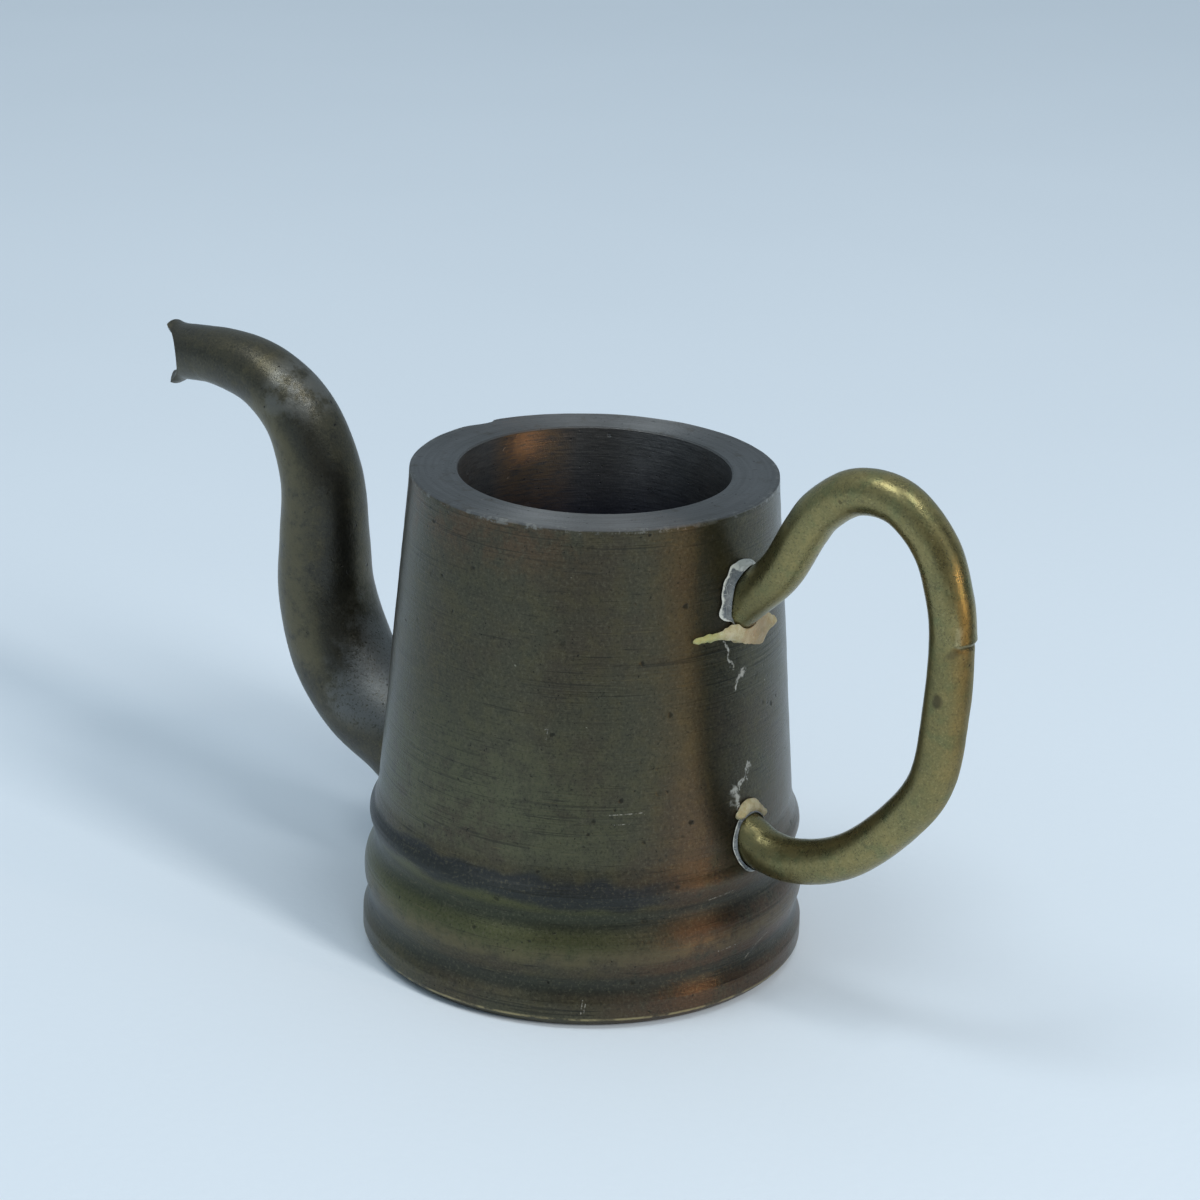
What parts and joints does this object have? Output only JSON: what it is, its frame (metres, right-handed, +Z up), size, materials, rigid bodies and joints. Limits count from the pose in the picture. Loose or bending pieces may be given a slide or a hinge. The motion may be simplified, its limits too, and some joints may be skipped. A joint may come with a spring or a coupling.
{
  "type": "miniature oil can",
  "caption": "Small solid brass oil can: a turned tapered cup with a moulded foot, a bent tapering spout and a D-shaped rod handle glued into its wall.",
  "frame": {"origin": "centre of the flat underside of the foot", "axes": "+Z up along the cup's turning axis, +X towards the handle, -X towards the spout's mouth, +Y across"},
  "size_m": [0.0579, 0.025, 0.0319],
  "materials": {
    "turned_brass": "dark brown patina over fine turning marks, satin",
    "spout_brass": "dark olive-brown patina, satin, dented",
    "rod_brass": "yellow-olive drawn rod, satin, pitted",
    "solder": "dull grey tin solder",
    "clear_glue": "clear glue gone whitish, crazed",
    "cream_glue": "yellowed cream glue, chalky"
  },
  "bodies": {
    "root": {"body": "turned_brass", "spout": "spout_brass", "spout_solder": "solder", "handle": "rod_brass", "upper_glue_ring": "clear_glue", "upper_glue_flap": "cream_glue", "lower_glue_ring": "clear_glue", "lower_glue_lump": "cream_glue"}
  },
  "joints": []
}
